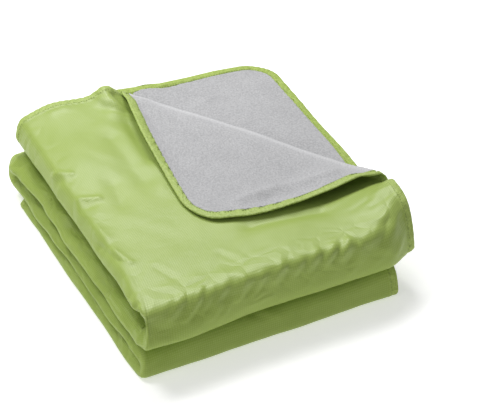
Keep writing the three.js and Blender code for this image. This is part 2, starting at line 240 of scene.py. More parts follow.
def lean(x, y, z, along):
    # the front folds lean back by their slope times the height over their middle, and the upper one
    # is skewed towards its right end; both effects fade towards the back
    rise = z - (height1 + height2) / 2
    steeper = leaning["rightEnd"] * smooth((x - 380) / 100) * mix(0.1, 1, smooth((rise + 15) / 30))
    slope = mix(leaning["left"], leaning["middle"], smooth(x / 200)) + steeper
    skew = mix(-4, 7, smooth(x / 190)) - 4 * smooth((x - 240) / 200) + 32 * smooth((x - 430) / 70)
    upper = smooth((100 - y) / 110) * (slope * rise + skew)
    lower = leaning["lower"] * (z - (height3 + height4) / 2) - 3 * np.clip(x / 450, 0, 1)
    return y + np.where(along > 4, smooth((120 - y) / 110) * lower, upper)


# the crease of the turned-back corner, from the back hem to the right hem
creaseBack, creaseFront = np.array([198.0, 520.0]), np.array([502.0, 95.0])
creaseLength = float(np.hypot(*(creaseFront - creaseBack)))
creaseX, creaseY = (creaseFront - creaseBack) / creaseLength


def alongCrease(x, y):
    # lengths along the crease, from its back end, and past it, towards the turned-back corner
    dx, dy = x - creaseBack[0], y - creaseBack[1]
    return dx * creaseX + dy * creaseY, -dx * creaseY + dy * creaseX


settling = {
    "puffLeft": 22.0,  # how high the back of the top is puffed up
    "puffRight": 12.0,
    "puffLost": 7.0,  # at the very left
    "hemBulge": 22.0,  # the peak of the back hem
    "frontBulge": 15.0,
    "openSide": 6.0,  # how deep the top sinks at its open right side
    "beforeCrease": 6.0,  # before the crease
    "atCrease": 8.0,
    "roll": 2.4,  # a slow unevenness of the whole top
    "sag": 6.0,  # how far the upper bundle sags at the back
}


def settle(x, y, z, s):
    # the top is raised by its puff and bulges and lowered by its dips, all bell curves and soft steps,
    # and less so from the top layer down to the second panel
    back = smooth((y - 60) / 430)
    puff = mix(s["puffLeft"], s["puffRight"], smooth((x - 150) / 60)) - s["puffLost"] * (1 - smooth(x / 60))
    hemBulge = s["hemBulge"] * bump(x, 165, 26) * smooth((y - 430) / 90)
    frontBulge = s["frontBulge"] * bump(x, 480, 85) * bump(y, 30, 62)
    roll = s["roll"] * np.sin(x / 61 + y / 97) * np.sin(y / 83 - x / 143)
    q, past = alongCrease(x, y)
    sink = s["openSide"] * smooth((x - 400) / 90) * smooth((y - 150) / 150)
    frontEnd = creaseLength + 20 - q
    sink = sink + s["beforeCrease"] * bump(past, -85, 50) * smooth((q - 20) / 90) * smooth(frontEnd / 90)
    sink = sink + s["atCrease"] * bump(past, -10, 45) * smooth(q / 140) * smooth(frontEnd / 100)
    share = smooth((z - (height2 + 6)) / (height1 + 14 - height2))
    sag = s["sag"] * smooth((y - 330) / 170) * np.clip((z - height2 + 18) / 37, 0, 1)
    return z + share * (back * puff + hemBulge + frontBulge - sink + roll) - sag


# the back right corners: the top layer's is drawn out, and the second layer's shows behind it
corners = {
    "topRight": 92.0,
    "topForward": 84.0,
    "secondBack": 19.0,
    "secondRight": 12.0,
}


def drawnOut(y):
    # how far the top layer's right hem is drawn out, more and more towards the back
    return corners["topRight"] * smooth((y - 20) / 400)


def pull(x, y, across, along):
    # the top layer's back right corner is drawn out to the right and to the front
    fromHem = 1 - np.clip(across, 0, 1)
    left, right = limitsAt(along)
    place = np.clip((mix(left, right, fromHem) - 190) / (right - 190), 0, 1)
    x = x + drawnOut(y) * fromHem ** 1.3
    return x, y - corners["topForward"] * place ** 1.35 * np.clip(1 - along, 0, 1) ** 1.2


turnedBack = {
    "radius": 8.0,  # of the fold along the crease
    "radiusLost": 4.0,  # at the crease's back end
    "height": 8.0,  # over the top layer, to which the corner sinks
    "lift": 13.0,  # at the crease's front end
}


def turnBack(x, y, s):
    # what lies past the crease goes round a small half circle and comes back over the top layer,
    # to which it sinks along two exponential curves
    q, past = alongCrease(x, y)
    radius = s["radius"] - s["radiusLost"] * bump(q, 0, 60)
    turn = (past + radius) / (np.pi * radius)
    beyond = np.where(turn < 1, 0, past + radius - np.pi * radius)
    angle = np.pi * np.clip(turn, 0, 1)
    shift = np.where(turn > 0, radius * np.sin(angle) - radius - beyond - past, 0)
    height = radius * (1 - np.cos(angle))
    lift = s["lift"] * smooth((q - 375) / 90) * smooth(beyond / 40)
    sunk = mix(s["height"], height, 0.5 * np.exp(-beyond / 14) + 0.5 * np.exp(-beyond / 60))
    return x - shift * creaseY, y + shift * creaseX, np.where(turn < 1, height, sunk + lift), turn


def middlePoints(across, along):
    # the middle surface: a point of the section, carried along the spine, pulled, turned back and settled
    x, n = sectionAt(across, along)
    y, z, ny, nz, pitch = spineAt(along, x)
    x = bendLeft(x, y, across, along, n, pitch, ny, nz)
    y, z = y + n * pitch * ny, z + n * pitch * nz
    z = z + opening(x, y, n * nz, along)
    top = (across < 1) & (along < 1)
    turnedX, turnedY, above, turn = turnBack(*pull(x, y, across, along), turnedBack)
    x, y = np.where(top, turnedX, x), np.where(top, turnedY, y)
    second = (across > 6) & (along < 1)
    share = smooth((across - 6) / 0.35) * np.clip(1 - along, 0, 1) ** 3
    y = y + np.where(second, corners["secondBack"] * (1 - 0.25 * smooth((x - 330) / 150)) * share, 0)
    x = x + np.where(second, corners["secondRight"] * share * smooth((across - 6) / 0.8), 0)
    y = lean(x, y, z, along)
    z = settle(x, y, z, settling) + np.where(top, above, 0)
    return np.stack([x, y, z], -1)


def topLength(along):
    # the top layer's length across, from its right hem to where its left fold starts
    left, right = limitsAt(along)
    drawn = drawnOut(spineAt(along)[0])
    return right - left - outer * spineAt(along)[4] - shellFace + np.where(along < 1, drawn, 0)


panel1, panel4 = backHem - upperFront, bottomEnd - lowerFront  # their lengths


def edgeLines(first):
    # distances from the hem's edge at which the grids have lines, from the first one on
    near = [0, 0.5, 1.6, 3.4, 6, 9, 11.4, 12.4, 13.2, 14.1, cloth["hem"], 15.4]
    far = [cloth["fleeceEdge"], 17, 20, 24, 28, 33, 38, 44, 50, cloth["corner"]]
    return np.array([d for d in near + far if d >= first])


def spread(first, last, count):
    # even steps from first to last, without first
    return np.linspace(first, last, count + 1)[1:]


def clothGrid(first, acrossCounts, alongCounts):
    # a grid of places over the whole cloth, closer near the hems, with its corners made round
    edge = edgeLines(first)
    c = cloth["corner"]
    along = np.concatenate([
        edge / panel1, spread(c / panel1, 1, alongCounts[0]),
        *[spread(s, s + 1, alongCounts[s]) for s in range(1, 6)],
        spread(6, 7 - c / panel4, alongCounts[6]), 7 - edge[::-1][1:] / panel4,
    ])
    top = topLength(along)[:, None]
    second = topLength(np.maximum(along, 1))[:, None] - secondInset
    # each row has its own places across, because the layers' lengths change along the cloth
    across = np.concatenate([
        edge[None] / top, mix(c / top, 1, spread(0, 1, acrossCounts[0])[None]),
        *[np.tile(spread(s, s + 1, acrossCounts[s]), (len(along), 1)) for s in range(1, 6)],
        6 + (1 - c / second) * spread(0, 1, acrossCounts[6])[None], 7 - edge[::-1][None, 1:] / second,
    ], 1)
    along = np.tile(along[:, None], (1, across.shape[1]))
    top, second = np.broadcast_to(top, across.shape), np.broadcast_to(second, across.shape)
    du = np.where(across < 1, across * top, np.where(across > 6, (7 - across) * second, 1e6))
    dv = np.where(along < 1, along * panel1, np.where(along > 6, (7 - along) * panel4, 1e6))
    # near a corner, the square line at one depth from both hems becomes an arc round the corner's centre
    depth, reach = np.minimum(du, dv), np.maximum(du, dv)
    radius = c - depth
    angle = np.pi / 4 * (c - reach) / np.maximum(radius, 1e-6)
    near, far = c - radius * np.cos(angle), c - radius * np.sin(angle)
    corner = (reach < c) & (radius > 0)
    ru = np.where(corner, np.where(du <= dv, near, far), du)
    rv = np.where(corner, np.where(du <= dv, far, near), dv)
    across = np.where(across < 1, ru / top, np.where(across > 6, 7 - ru / second, across))
    along = np.where(along < 1, rv / panel1, np.where(along > 6, 7 - rv / panel4, along))
    return {"across": across, "along": along, "edge": depth}


def flatPlace(grid):
    # the place of each point on the flat blanket: u grows across it from the right hem,
    # and v along it from the back hem.
    # The top layer counts from its left fold, so its drawn-out corner lies past 0
    across, along = grid["across"], grid["along"]
    top = topLength(along)
    u = np.interp(across, np.arange(7), flatAcross)
    u = np.where(across < 1, flatAcross[1] - (1 - across) * top, u)
    second = topLength(np.maximum(along, 1)) - secondInset
    u = np.where(across > 6, flatAcross[6] + (across - 6) * second, u)
    return u, np.interp(along, np.arange(8), flatAlong)


nudges = [
    # fromRight, fromBack, reachU, reachV, dx, dy, dz: the cloth near a place is moved a little
    (296.0, 0.0, 22.0, 30.0, -5.0, 0.0, 0.0),
    (295.0, 15.0, 18.0, 10.0, -5.2, 7.3, 0.0),
    (160.0, 0.0, 80.0, 20.0, -4.0, -7.0, 8.0),
    (230.0, 0.0, 60.0, 40.0, 0.0, 0.0, 7.0),
    (440.0, 0.0, 80.0, 60.0, 0.0, 7.0, 9.0),
    (1730.0, 0.0, 36.0, 60.0, 0.0, 13.0, 5.0),
    (1690.0, 0.0, 22.0, 60.0, 0.0, -10.0, -9.0),
    (1987.0, 250.0, 40.0, 140.0, 8.0, 0.0, -3.0),
    (1994.0, 230.0, 14.0, 130.0, -4.0, 0.0, -6.0),
    (10.0, 410.0, 40.0, 35.0, -4.0, 1.0, -8.0),
    (22.0, 482.0, 42.0, 42.0, 2.0, 0.0, 8.0),
    (35.0, 690.0, 60.0, 50.0, 0.0, 0.0, 9.0),
    (1031.0, 690.0, 60.0, 50.0, 0.0, 0.0, 8.0),
    (1985.0, 690.0, 60.0, 50.0, 0.0, 0.0, 9.0),
    (60.0, 1782.0, 60.0, 45.0, 0.0, 0.0, 6.0),
    (540.0, 1219.0, 60.0, 80.0, 0.0, 0.0, -5.0),
    (508.0, 640.0, 60.0, 30.0, -3.0, 0.0, 5.0),
    (20.0, 636.0, 34.0, 30.0, 6.0, -5.0, -2.0),
    (550.0, 1840.0, 30.0, 40.0, 4.0, 0.0, 0.0),
]


def nudge(p, u, v):
    # each row adds its shift times a bell curve of the distance along the flat cloth
    for fromRight, fromBack, reachU, reachV, dx, dy, dz in nudges:
        share = bump(u, fromRight, reachU) * bump(v, fromBack, reachV)
        p = p + share[..., None] * np.array([dx, dy, dz])
    return p


hem = {
    "stitchAt": 13.0,  # from the edge
    "dip": 0.5,  # how deep the stitches draw the cloth in
    "puckerHeight": 1.25,
    "puckerLength": 13.0,
}


def puckers(u, v, edge, h):
    # a wave along the hem whose phase and height wander, and which fades away from the stitches
    s = u + v
    wave = np.sin(2 * np.pi * s / h["puckerLength"] + 1.7 * np.sin(s / 37))
    wave = wave * (0.6 + 0.4 * np.sin(s / 53))
    return h["puckerHeight"] * wave * np.exp(-((edge - h["stitchAt"] + 3) / 11) ** 2)


def softWaves(u, v):
    # slow waves over the whole cloth: products of sines across and along, whose phases wander
    h = 1.3 * np.sin(u / 47 + 1.3 * np.sin(v / 61)) * np.sin(v / 39 + np.sin(u / 83))
    return h + 0.35 * np.sin(u / 13 + 1.9 * np.sin(v / 29)) * np.sin(v / 17 + 1.4 * np.sin(u / 23))


def ridge(u, v, row):
    # a ridge along a short line: its height falls off with the distance from the line
    middleU, middleV, length, turn, width, height = row
    du, dv = math.cos(math.radians(turn)), math.sin(math.radians(turn))
    t = np.clip((u - middleU) * du + (v - middleV) * dv, -length / 2, length / 2)
    d = np.hypot(u - middleU - t * du, v - middleV - t * dv)
    return height * np.exp(-(d / width) ** 1.6)


# ridges and, with a height below nothing, troughs, on the flat cloth:
# u grows across it from the top layer's right hem, and v along it from the back hem
ridges = {
    # middleU, middleV, length, turn in degrees from u to v, width, height
    "leftShoulder": [
        (512, 182, 36, 145, 5.2, 4.6),
        (519, 199, 24, 130, 5.9, -2.2),
        (497, 262, 36, 160, 5.2, 4.6),
        (508, 279, 24, 170, 5.9, -1.8),
        (507, 417, 42, 110, 5.9, 3.4),
        (523, 394, 54, 105, 7.8, -3.4),
        (528, 548, 10, 90, 5.0, 4.5),
        (513, 345, 36, 105, 7.8, 1.8),
        (457, 488, 42, 115, 6.0, -1.2),
        (451, 476, 48, 120, 6.5, 0.6),
        (350, 502, 42, 115, 6.0, -0.9),
        (342, 492, 48, 120, 6.5, 0.6),
        (447, 270, 54, 80, 18.2, -2.7),
        (506, 125, 108, 85, 15.6, -1.5),
        (447, 26, 30, 5, 6.5, 2.0),
    ],
    "belowTheCrease": [
        (349, 38, 40, 135, 7.0, 2.2),
        (352, 55, 40, 150, 8.0, -3.2),
        (325, 38, 36, 125, 9.0, -7.0),
        (345, 148, 105, 85, 16.0, -6.0),
        (388, 190, 120, 92, 24.0, -4.5),
        (226, 440, 120, 173, 16.0, -5.0),
        (375, 104, 45, 120, 12.0, 0.8),
        (373, 254, 65, 95, 12.0, 1.4),
    ],
    "frontShoulder": [
        (437, 564, 52, 40, 3.6, 2.3),
        (429, 569, 45, 45, 4.2, -1.6),
        (464, 559, 30, 40, 4.0, 1.8),
        (454, 564, 30, 40, 4.0, -1.4),
        (478, 554, 22, 40, 5.0, 1.1),
        (408, 569, 30, 40, 5.0, -1.6),
        (393, 562, 30, 35, 4.0, 1.1),
        (377, 562, 30, 40, 6.0, -2.2),
        (357, 567, 30, 50, 5.0, 2.7),
        (342, 569, 22, 45, 5.0, -2.0),
        (330, 569, 30, 45, 5.0, 1.2),
        (315, 566, 22, 45, 6.0, -1.8),
        (291, 561, 22, 40, 5.0, 3.0),
        (279, 567, 30, 50, 6.0, -2.2),
        (260, 564, 22, 40, 5.0, 1.5),
        (248, 564, 22, 45, 5.0, -1.7),
        (227, 557, 30, 40, 5.0, 2.0),
        (217, 562, 22, 40, 4.5, -2.0),
        (198, 557, 30, 40, 4.5, 2.8),
        (186, 559, 30, 40, 4.5, -2.5),
        (170, 556, 30, 40, 4.5, 3.0),
        (159, 564, 30, 45, 6.0, -2.0),
        (133, 552, 30, 30, 6.0, 1.6),
        (117, 552, 22, 30, 5.0, 2.0),
        (98, 556, 30, 35, 6.0, -2.2),
        (76, 556, 22, 25, 7.0, 1.5),
    ],
    "frontFace": [
        (328, 598, 35, 5, 4.5, 1.8),
        (330, 586, 20, 20, 4.0, 1.5),
        (388, 591, 25, 50, 5.0, 1.2),
        (407, 588, 25, 45, 5.0, 1.4),
        (428, 596, 20, 50, 6.0, 1.2),
        (244, 593, 20, 55, 7.0, 1.2),
        (162, 590, 25, 50, 7.0, 1.4),
        (112, 584, 25, 40, 8.0, 1.4),
        (74, 584, 25, 35, 7.0, 1.4),
        (515, 583, 25, 65, 6.0, 1.4),
        (492, 581, 35, 135, 9.0, -1.5),
    ],
    "byTheRoll": [
        (54, 494, 60, 135, 5.0, 2.0),
        (68, 511, 50, 150, 5.5, -1.8),
        (70, 537, 45, 0, 7.0, 1.3),
        (71, 547, 40, 0, 7.0, -1.0),
        (99, 478, 40, 10, 8.0, -1.2),
        (116, 436, 65, 15, 9.0, 0.9),
    ],
    "lowerFront": [
        (314, 1807, 25, 160, 4.5, -2.0),
        (294, 1810, 35, 160, 5.0, 1.3),
        (456, 1820, 20, 60, 6.0, 0.9),
        (483, 1818, 20, 50, 5.0, -0.9),
        (520, 1825, 20, 75, 5.0, 1.0),
        (169, 1820, 20, 65, 7.0, 0.8),
        (242, 1818, 15, 60, 7.0, -0.9),
        (107, 1810, 20, 45, 6.0, 0.8),
        (412, 1818, 20, 55, 7.0, -0.9),
    ],
    "secondPanel": [
        (540, 1150, 26, 30, 5.0, -5.0),
        (558, 1118, 55, 75, 4.0, 2.6),
        (570, 1112, 35, 80, 5.0, -1.9),
        (574, 1069, 20, 105, 5.0, 2.4),
        (571, 1004, 30, 85, 6.0, -2.9),
        (567, 968, 25, 110, 5.0, 3.5),
        (561, 925, 25, 90, 6.0, -3.2),
        (561, 903, 25, 110, 5.0, 3.5),
        (560, 861, 20, 100, 6.0, -2.9),
        (559, 851, 20, 100, 5.0, 2.6),
        (552, 791, 25, 95, 6.0, -2.2),
        (548, 756, 25, 95, 6.0, 1.9),
        (541, 715, 30, 105, 6.0, -1.6),
        (545, 683, 20, 100, 5.0, 1.6),
    ],
    "thirdPanel": [
        (521, 1315, 25, 100, 4.0, 1.5),
        (518, 1364, 25, 105, 5.0, -1.8),
        (526, 1431, 30, 110, 5.0, 1.8),
        (533, 1494, 35, 115, 5.0, -2.1),
        (532, 1519, 30, 115, 5.0, 2.1),
        (544, 1569, 25, 95, 5.0, -1.5),
        (546, 2033, 25, 110, 5.0, 1.5),
        (544, 1971, 30, 110, 5.0, -1.5),
    ],
    "fourthPanel": [
        (538, 1344, 25, 100, 5.0, 1.0),
        (544, 2271, 25, 100, 5.0, -1.0),
        (538, 2205, 35, 115, 5.0, 1.2),
        (532, 2135, 25, 95, 5.0, -1.0),
        (529, 2055, 20, 85, 5.0, 1.0),
        (529, 1976, 20, 85, 5.0, -1.0),
        (528, 1912, 15, 95, 5.0, 1.0),
    ],
    "flap": [
        (-18, 150, 86, 68, 7.0, -4.5),
        (12, 255, 102, 78, 7.0, -4.5),
        (-25, 205, 110, 78, 9.0, 2.6),
        (232, 45, 70, 150, 7.0, -4.0),
        (198, 29, 85, 170, 9.0, 3.2),
        (58, 41, 95, 175, 16.0, 1.5),
        (107, 128, 100, 155, 22.0, -1.2),
    ],
    "secondLayer": [
        (1818, 49, 60, 65, 9.0, -2.4),
        (1782, 46, 50, 65, 9.0, 1.8),
        (1821, 79, 45, 165, 9.0, -1.6),
        (1892, 98, 70, 10, 14.0, 1.5),
        (1921, 127, 120, 100, 16.0, -1.2),
        (1951, 273, 100, 75, 14.0, -1.2),
    ],
}


def freedom(across, along):
    # how freely the cloth ripples: all where it shows, and a fifth of that between the layers and underneath
    left = smooth((across - 0.9) / 0.1) * (1 - smooth((across - 2) / 0.1))
    fronts = np.maximum(1 - smooth((along - 1.95) / 0.1), bump(along, 5.5, 0.6))
    top = (1 - smooth((across - 1) / 0.1)) * fronts
    second = smooth((across - 6) / 0.1) * (1 - smooth((along - 0.95) / 0.1))
    return 0.2 + 0.8 * np.maximum(np.maximum(left, top), second)


def wrinkles(grid):
    # heights towards the cloth's shell side: puckers, slow waves and ridges, added up
    u, v = flatPlace(grid)
    h = puckers(u, v, grid["edge"], hem) + softWaves(u, v) * freedom(grid["across"], grid["along"])
    for rows in ridges.values():
        for row in rows:
            h = h + ridge(u, v, row)
    return h


def normals(p):
    # the cross product of the grid's two directions
    du = np.gradient(p, axis=1)
    dv = np.gradient(p, axis=0)
    n = np.cross(du, dv)
    return n / np.maximum(np.linalg.norm(n, axis=-1, keepdims=True), 1e-9)


def crestHighlightShare(grid):
    # how near each point is to the crest of the turned-back corner, the mask of the painted highlight along
    # the fold: a narrow bell curve on a wide and low one
    across, along = grid["across"], grid["along"]
    x, n = sectionAt(across, along)
    y, z, ny, nz, pitch = spineAt(along, x)
    turn = turnBack(*pull(x, y + n * pitch * ny, across, along), turnedBack)[3]
    crestHighlight = 0.75 * bump(turn, 0.97, 0.11) + 0.25 * bump(turn, 1.1, 0.6)
    return np.where((across < 1) & (along < 1), crestHighlight, 0)


def clothSurface(grid):
    # the middle surface with its nudges, moved along its normals by its wrinkles, and kept over the floor
    p = nudge(middlePoints(grid["across"], grid["along"]), *flatPlace(grid))
    p = p + normals(p) * wrinkles(grid)[..., None]
    p[..., 2] = np.maximum(p[..., 2], shellFace)
    return p, normals(p)


def coarse(count, edges):
    # every second line of a grid, with all those of its two edges
    inside = np.arange(edges, count - edges, 2)
    return np.concatenate([np.arange(edges), inside, np.arange(count - edges, count)])


def gridFaces(rows, cols, flip):
    # a quad for each cell of a grid whose points have the index row + column
    first = (rows[:-1, None] + cols[None, :-1]).ravel()
    second = (rows[:-1, None] + cols[None, 1:]).ravel()
    third = (rows[1:, None] + cols[None, 1:]).ravel()
    fourth = (rows[1:, None] + cols[None, :-1]).ravel()
    return np.stack([first, fourth, third, second] if flip else [first, second, third, fourth], 1)


def wallFaces(front, back, keep):
    # joins an edge of the front skin to one of the coarser back skin: a quad where they have the same steps,
    # and a triangle and a quad where the back skin takes two at once
    a, b = keep[:-1], keep[1:]
    single, double = np.nonzero(b - a == 1)[0], np.nonzero(b - a == 2)[0]
    quads = np.stack([front[a[single]], back[single], back[single + 1], front[b[single]]], 1)
    more = np.stack([front[a[double] + 1], back[double], back[double + 1], front[b[double]]], 1)
    tris = np.stack([front[a[double]], back[double], front[a[double] + 1]], 1)
    return np.concatenate([quads, more]), tris


def bothSkins(values, rowKeep, colKeep):
    # the values of all the front skin's points, and then those of the coarser back skin's
    return np.concatenate([values.ravel(), values[np.ix_(rowKeep, colKeep)].ravel()])


def sheetMesh(name, grid, frontOffset, backOffset, edges, flip=False):
    # a closed sheet: a fine skin on the side that shows, a coarser one behind it, and a wall round the edge
    p, n = clothSurface(grid)
    u, v = flatPlace(grid)
    rows, cols = p.shape[:2]
    front = p + n * frontOffset[..., None]
    rowKeep, colKeep = coarse(rows, edges), coarse(cols, edges)
    back = (p + n * backOffset[..., None])[np.ix_(rowKeep, colKeep)]
    points = np.concatenate([front.reshape(-1, 3), back.reshape(-1, 3)])
    uv = np.stack([bothSkins(u, rowKeep, colKeep), bothSkins(v, rowKeep, colKeep)], -1)
    marks = {
        "hemDistance": bothSkins(grid["edge"], rowKeep, colKeep),
        # the mask of the painted highlight along the fold's crest
        "foldCrestHighlight": bothSkins(crestHighlightShare(grid), rowKeep, colKeep),
    }
    nr, nc = len(rowKeep), len(colKeep)
    base = rows * cols
    frontFaces = gridFaces(np.arange(rows) * cols, np.arange(cols), flip)
    backFaces = gridFaces(np.arange(nr) * nc + base, np.arange(nc), not flip)
    f = np.arange(base).reshape(rows, cols)
    b = np.arange(nr * nc).reshape(nr, nc) + base
    quads, tris = [frontFaces, backFaces], []
    for frontEdge, backEdge, keep, turn in [
        (f[0], b[0], colKeep, False), (f[-1], b[-1], colKeep, True),
        (f[:, 0], b[:, 0], rowKeep, True), (f[:, -1], b[:, -1], rowKeep, False),
    ]:
        q, t = wallFaces(frontEdge, backEdge, keep)
        if turn != flip:
            q, t = q[:, ::-1], t[:, ::-1]
        quads.append(q)
        tris.append(t)
    return makeMesh(name, points, uv, np.concatenate(quads), np.concatenate(tris), marks)


def makeMesh(name, points, uv, quads, tris, marks):
    # whole arrays go into a new mesh, in metres:
    # points, faces, flat places and one value a point for each mark
    mesh = bpy.data.meshes.new(name)
    loops = np.concatenate([quads.ravel(), tris.ravel()]).astype(np.int32)
    starts = np.concatenate([np.arange(len(quads)) * 4, len(quads) * 4 + np.arange(len(tris)) * 3])
    mesh.vertices.add(len(points))
    mesh.vertices.foreach_set("co", ((points - origin) * mm).astype(np.float32).ravel())
    mesh.loops.add(len(loops))
    mesh.loops.foreach_set("vertex_index", loops)
    mesh.polygons.add(len(starts))
    mesh.polygons.foreach_set("loop_start", starts.astype(np.int32))
    mesh.update(calc_edges=True)
    layer = mesh.uv_layers.new(name="flat")
    layer.data.foreach_set("uv", (uv[loops] * mm).astype(np.float32).ravel())
    for mark, values in marks.items():
        mesh.attributes.new(mark, "FLOAT", "POINT").data.foreach_set("value", values.astype(np.float32))
    mesh.polygons.foreach_set("use_smooth", np.ones(len(starts), dtype=bool))
    mesh.validate()
    obj = bpy.data.objects.new(name, mesh)
    bpy.context.scene.collection.objects.link(obj)
    return obj


shellSheet = {
    "across": [135, 14, 6, 6, 6, 6, 16],  # grid cells in each stretch across
    "along": [108, 50, 36, 14, 28, 22, 14],  # and along
    "edgeRadius": 3.4,  # the hem's edge is a fold as round as this
}


def roundedEdge(edge, radius):
    # the share of its thickness that the sheet has, a quarter circle from near nothing at the edge
    # to all of it a radius further in
    return np.sqrt(np.clip(1 - (1 - np.clip(edge / radius, 0, 1)) ** 2, 0.04, 1))


def makeShell(s):
    # the shell with its hem: thicker there, round at its edge and drawn in along the stitches
    grid = clothGrid(0, s["across"], s["along"])
    edge = grid["edge"]
    share = roundedEdge(edge, s["edgeRadius"])
    dip = hem["dip"] * bump(edge, hem["stitchAt"], 0.9)
    front = cloth["shellFace"] * share - dip
    back = np.where(edge < cloth["hem"] + 0.2, cloth["hemBack"] * share + dip, cloth["shellBack"])
    edges = len(edgeLines(0))
    return sheetMesh("shellCloth", grid, front, back, edges)


liningSheet = {
    "drawnIn": 1.0,  # the fleece keeps this far from the shell where nobody sees it
    "across": [125, 8, 4, 4, 4, 4, 60],
    "along": [110, 30, 40, 8, 30, 14, 10],
}


def makeLining(s):
    # the fleece inside the hem, on the cloth's other side
    grid = clothGrid(cloth["fleeceEdge"], s["across"], s["along"])
    hidden = (grid["across"] > 1.02) & (grid["across"] < 6.1) | (grid["along"] > 1.02)
    front = np.full(grid["edge"].shape, cloth["fleeceFace"])
    back = np.where(hidden, cloth["fleeceTop"] - s["drawnIn"], cloth["fleeceTop"])
    edges = len(edgeLines(cloth["fleeceEdge"]))
    return sheetMesh("liningFleece", grid, front, back, edges, flip=True)


shell = makeShell(shellSheet)
print("shell made", len(shell.data.polygons))
lining = makeLining(liningSheet)
print("lining made", len(lining.data.polygons))


stitches = {
    "pitch": 5.2,
    "length": 3.6,
    "thickness": 0.85,
    "proud": 0.25,  # height of a stitch's middle over the cloth
    "sunk": 0.6,  # and depth of its ends under it
}


def hemLoop(values, line):
    # one grid line that runs round the whole hem, as a closed loop
    rows, cols = len(values), len(values[0])
    loop = np.concatenate([
        values[line, line:-line - 1],
        values[line:-line - 1, -line - 1],
        values[-line - 1, line + 1:cols - line][::-1],
        values[line + 1:rows - line, line][::-1],
    ])
    return np.concatenate([loop, loop[:1]])


def stitchRow(points, up, s):
    # short threads at even steps along a line, each a square bar of four stations
    # that dives into the cloth at its ends
    steps = np.linalg.norm(np.diff(points, axis=0), axis=1)
    run = np.concatenate([[0], np.cumsum(steps)])
    count = int(run[-1] / s["pitch"])
    starts = np.arange(count)[:, None] * run[-1] / count
    along = starts + np.array([0, 0.22, 0.78, 1.0])[None] * s["length"]
    place = np.stack([np.interp(along, run, points[:, i]) for i in range(3)], -1)
    normal = np.stack([np.interp(along, run, up[:, i]) for i in range(3)], -1)
    way = place[:, -1:] - place[:, :1]
    way = way / np.linalg.norm(way, axis=-1, keepdims=True)
    side = np.cross(way, normal)
    lift = np.array([-s["sunk"], s["proud"], s["proud"], -s["sunk"]])[None, :, None, None]
    angle = np.pi / 4 + np.arange(4) * np.pi / 2
    ring = np.cos(angle)[:, None] * side[:, :, None] + np.sin(angle)[:, None] * normal[:, :, None]
    threads = place[:, :, None] + normal[:, :, None] * lift + s["thickness"] / 2 * ring
    first = np.arange(count)[:, None] * 16
    bars = np.array([[4 * k + i, 4 * k + (i + 1) % 4, 4 * k + 4 + (i + 1) % 4, 4 * k + 4 + i]
                     for k in range(3) for i in range(4)] + [[3, 2, 1, 0], [12, 13, 14, 15]])
    return threads.reshape(-1, 3), (first[:, None] + bars[None]).reshape(-1, 4)


def makeStitches(s):
    # one row on the hem's face and one on its back, along the grid line that runs where the hem is sewn
    grid = clothGrid(0, shellSheet["across"], shellSheet["along"])
    line = int(np.argmin(np.abs(edgeLines(0) - hem["stitchAt"])))
    p, n = clothSurface(grid)
    p, n = hemLoop(p, line), hemLoop(n, line)
    face, faceQuads = stitchRow(p + n * (cloth["shellFace"] - hem["dip"]), n, s)
    back, backQuads = stitchRow(p + n * (cloth["hemBack"] + hem["dip"]), -n, s)
    points = np.concatenate([face, back])
    quads = np.concatenate([faceQuads, backQuads + len(face)])
    return makeMesh("hemStitches", points, points[:, :2], quads, np.zeros((0, 3), int), {})


thread = makeStitches(stitches)
print("stitches made", len(thread.data.polygons))


def newMaterial(name):
    # a new material, its nodes and links, and its shader
    material = bpy.data.materials.new(name)
    material.use_nodes = True
    nodes, links = material.node_tree.nodes, material.node_tree.links
    return material, nodes, links, nodes["Principled BSDF"]


def node(nodes, kind, **values):
    # a new node with these properties
    made = nodes.new(kind)
    for key, value in values.items():
        setattr(made, key, value)
    return made


def curve(nodes, links, source, fromMin, fromMax, toMin, toMax):
    # a soft step between two values
    made = node(nodes, "ShaderNodeMapRange", interpolation_type="SMOOTHSTEP")
    for key, value in [("From Min", fromMin), ("From Max", fromMax), ("To Min", toMin), ("To Max", toMax)]:
        made.inputs[key].default_value = value
    links.new(source, made.inputs["Value"])
    return made.outputs["Result"]


def noise(nodes, links, source, scale, detail=2.0, output="Fac"):
    # cloudy noise at the source's places
    made = node(nodes, "ShaderNodeTexNoise")
    made.inputs["Scale"].default_value = scale
    made.inputs["Detail"].default_value = detail
    links.new(source, made.inputs["Vector"])
    return made.outputs[output]


def combine(nodes, links, operation, a, b):
    # one sum, product or the like of two values, each a number or another node's output
    made = node(nodes, "ShaderNodeMath", operation=operation)
    for i, value in enumerate((a, b)):
        if isinstance(value, float):
            made.inputs[i].default_value = value
        else:
            links.new(value, made.inputs[i])
    return made.outputs[0]


def blend(nodes, links, factor, a, b):
    # colour a with the factor's share of colour b
    made = node(nodes, "ShaderNodeMix", data_type="RGBA")
    links.new(factor, made.inputs[0])
    for socket, value in ((made.inputs[6], a), (made.inputs[7], b)):
        if isinstance(value, tuple):
            socket.default_value = (*value, 1)
        else:
            links.new(value, socket)
    return made.outputs[2]


def relief(nodes, links, height, distance, under=None):
    # a bumpy normal, on top of another one where that is given
    made = node(nodes, "ShaderNodeBump")
    made.inputs["Distance"].default_value = distance
    links.new(height, made.inputs["Height"])
    if under is not None:
        links.new(under, made.inputs["Normal"])
    return made.outputs["Normal"]


shellLook = {
    "light": (0.38, 0.475, 0.122),
    "dark": (0.315, 0.418, 0.086),
    "lines": (0.22, 0.34, 0.04),
    "specks": (0.44, 0.55, 0.15),  # paler specks scattered at random over the hem
    "lineShare": 0.55,
    "threadSpacing": 0.0035,  # metres
    "threadHeight": 0.0001,
    "creaseScale": 24.0,
    "creaseHeight": 0.0075,
    "creaseBend": 0.05,
    "puckerScale": 95.0,
    "puckerHeight": 0.0028,
    "roughness": 0.44,
    "hemRoughness": 0.58,
    "sheen": 0.03,
}


